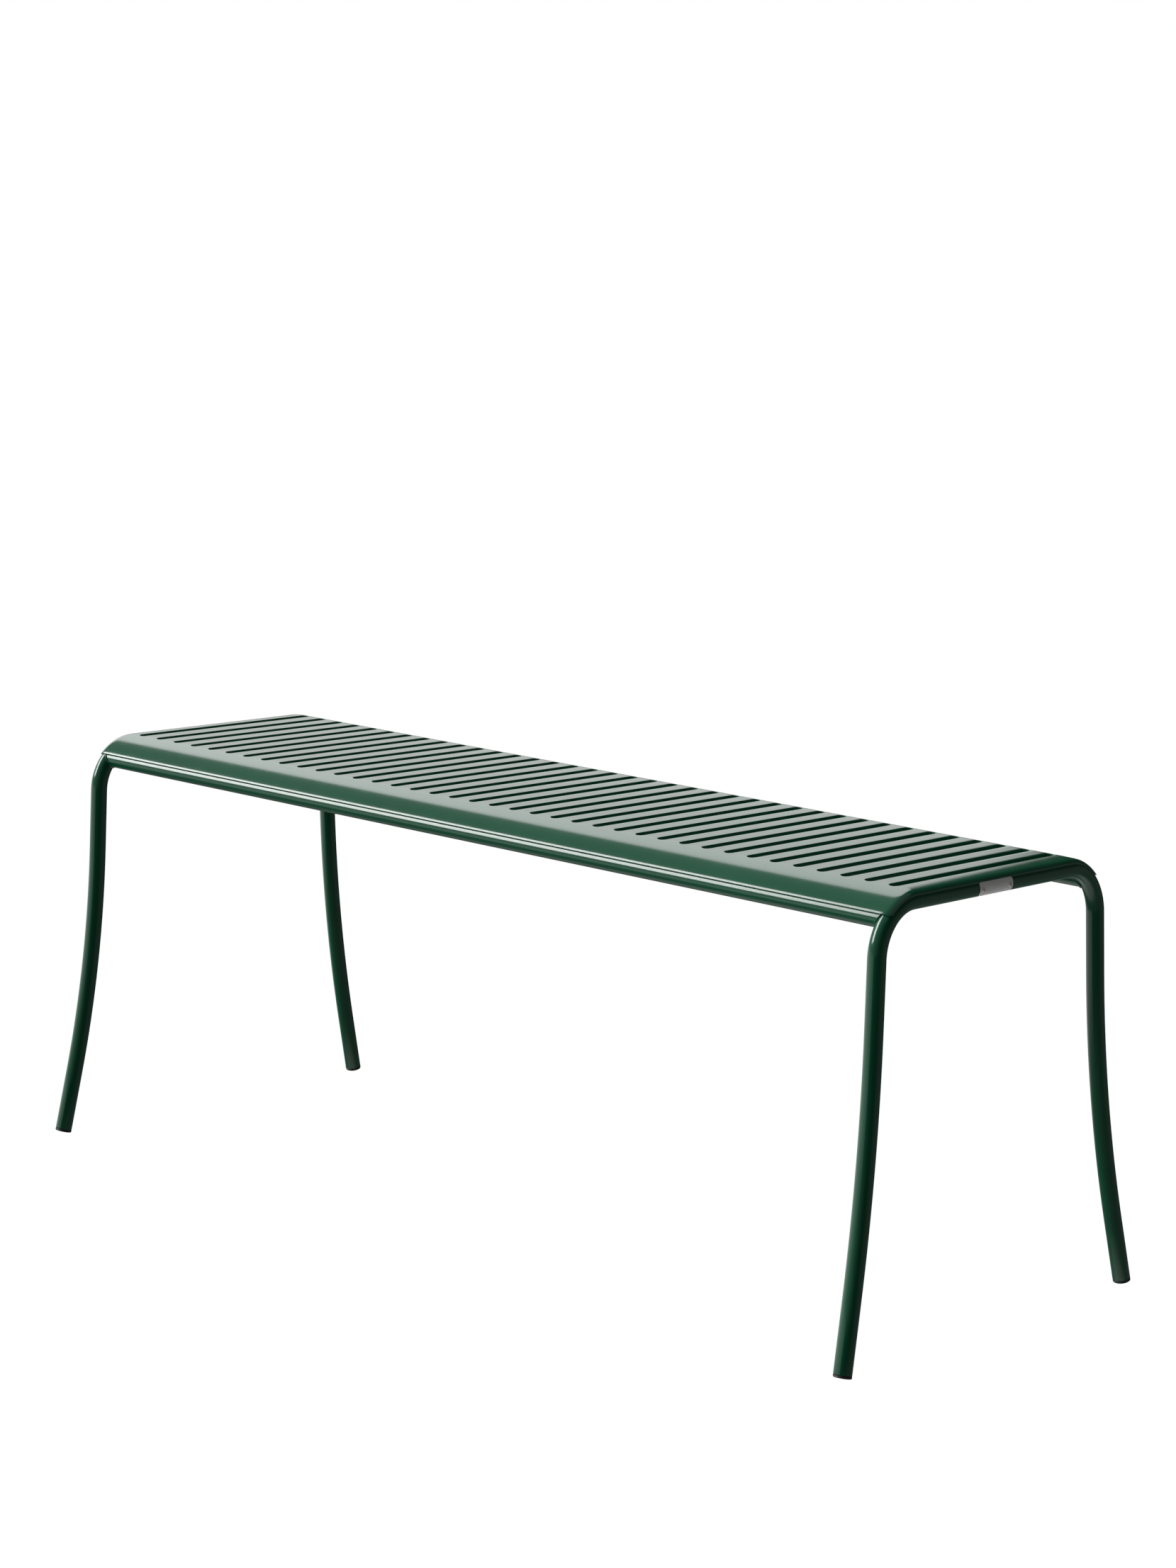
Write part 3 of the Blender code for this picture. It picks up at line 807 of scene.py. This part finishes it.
class Sky:
    """A short way to work out the studio's light from its direction, with angles in degrees."""

    def __init__(self):
        self.world = bpy.data.worlds.new("studio")
        self.world.use_nodes = True
        self.tree = self.world.node_tree
        self.shader = self.tree.nodes["Background"]
        split = self.tree.nodes.new("ShaderNodeSeparateXYZ")
        self.tree.links.new(self.tree.nodes.new("ShaderNodeTexCoord").outputs["Generated"], split.inputs[0])
        self.x, self.y, self.z = split.outputs

    def math(self, operation, first, second=0.0):
        node = self.tree.nodes.new("ShaderNodeMath")
        node.operation = operation
        for value, socket in zip((first, second), node.inputs):
            if isinstance(value, (int, float)):
                socket.default_value = value
            else:
                self.tree.links.new(value, socket)
        return node.outputs[0]

    def turn(self, first, second):
        """The angle whose tangent is first over second."""
        return self.math("MULTIPLY", self.math("ARCTAN2", first, second), 180 / pi)

    def ramp(self, source, start, stop, low, high):
        node = self.tree.nodes.new("ShaderNodeMapRange")
        node.interpolation_type = "SMOOTHSTEP"
        for name, value in (("From Min", start), ("From Max", stop), ("To Min", low), ("To Max", high)):
            node.inputs[name].default_value = value
        self.tree.links.new(source, node.inputs["Value"])
        return node.outputs["Result"]

    def line(self, source, start, stop, low, high):
        ramp = self.ramp(source, start, stop, low, high)
        ramp.node.interpolation_type = "LINEAR"
        return ramp

    def product(self, *values):
        total = values[0]
        for value in values[1:]:
            total = self.math("MULTIPLY", total, value)
        return total

    def total(self, *values):
        total = values[0]
        for value in values[1:]:
            total = self.math("ADD", total, value)
        return total


def studio_light():
    """A bright wall behind on the left, a softbox over it, and a dark room with a dim wall on the right."""
    sky = Sky()
    bearing = sky.turn(sky.x, sky.y)
    height = sky.math("MULTIPLY", sky.math("ARCSINE", sky.z), 180 / pi)
    roll = sky.turn(sky.z, sky.y)
    facing = sky.turn(sky.math("MULTIPLY", sky.y, -1), sky.math("MULTIPLY", sky.x, -1))
    behind = sky.line(bearing, *WALL_RIGHT_EDGE, 1, 0)
    left = sky.product(sky.math("MAXIMUM", behind, sky.math("LESS_THAN", sky.y, 0)),
                       sky.line(facing, *WALL_LEFT_FADE, 1, 0))
    below_top = sky.line(roll, *WALL_TOP_EDGE, 1, 0)
    wall = sky.product(sky.line(roll, *WALL_RISE, *WALL_LIGHT), below_top)
    gap = sky.math("MULTIPLY", sky.math("SUBTRACT", 1.0, below_top), GAP_LIGHT)
    over_horizon = sky.ramp(height, *HORIZON_BAND, 0, 1)
    under_wall = sky.math("SUBTRACT", 1.0, over_horizon)
    horizon = sky.product(under_wall, HORIZON_LIGHT, sky.ramp(bearing, *HORIZON_RIGHT_EDGE, 1, 0))
    side = sky.product(left, sky.total(horizon, sky.product(over_horizon, sky.total(wall, gap))))
    softbox = sky.product(SOFTBOX_LIGHT,
                          sky.line(roll, *SOFTBOX_START, 0, 1), sky.line(roll, *SOFTBOX_STOP, 1, 0),
                          sky.line(sky.x, *SOFTBOX_LEFT, 0, 1), sky.line(sky.x, *SOFTBOX_RIGHT, 1, 0))
    room = sky.math("MULTIPLY", sky.math("SUBTRACT", 1.0, left), ROOM_LIGHT)
    right = sky.product(RIGHT_LIGHT, sky.line(bearing, *RIGHT_LIGHT_START, 0, 1),
                        sky.line(bearing, *RIGHT_LIGHT_STOP, 1, 0), sky.line(height, *RIGHT_LIGHT_TOP, 1, 0))
    ceiling = sky.product(sky.ramp(height, *CEILING_START, 0, 1),
                          sky.ramp(sky.x, *CEILING_ACROSS, *CEILING_LIGHT))
    above = sky.math("MAXIMUM", sky.total(side, softbox, room, right), ceiling)
    under = sky.ramp(height, *FLOOR_START, 1, 0)
    pale = sky.ramp(height, *FLOOR_DEPTH, 1, 0)
    ground = sky.total(sky.product(pale, sky.ramp(sky.x, *FLOOR_ACROSS, *FLOOR_LIGHT)),
                       sky.product(FLOOR_DIM, sky.math("SUBTRACT", 1.0, pale)))
    light = sky.total(sky.product(above, sky.math("SUBTRACT", 1.0, under)), sky.product(ground, under))
    sky.tree.links.new(light, sky.shader.inputs["Strength"])
    sky.shader.inputs["Color"].default_value = (1, 1, 1, 1)
    bpy.context.scene.world = sky.world


def build():
    camera()
    studio_room()
    studio_light()
    seat(powder_coat("seat_green_powder_coat", COAT_GLOSS))
    frame_coat = powder_coat("frame_green_powder_coat", COAT_GLOSS)
    rail_coat = powder_coat("rail_green_powder_coat", COAT_GLOSS)
    plug = plug_plastic("black_plug_plastic")
    for end, side_x in (("left", -1), ("right", 1)):
        leg_frame(end, side_x, frame_coat)
        end_seam(end, side_x, frame_coat)
        for face, side_y in (("front", -1), ("back", 1)):
            foot_plug(face, end, side_x, side_y, plug)
            weld_bead(f"{face}_{end}_weld", side_x, side_y, rail_coat)
    for face, side_y in (("front", -1), ("back", 1)):
        rail(face, side_y, rail_coat)
        rail_seam(face, side_y, rail_coat)
        rivet(face, side_y, satin_aluminium(f"{face}_rivet_aluminium", RIVET_BRIGHTNESS, PLAIN_GRAIN))
    nameplate(satin_aluminium("plate_satin_aluminium", PLATE_BRIGHTNESS, BRUSHED_GRAIN))


bpy.context.scene.view_settings.view_transform = "Standard"
build()
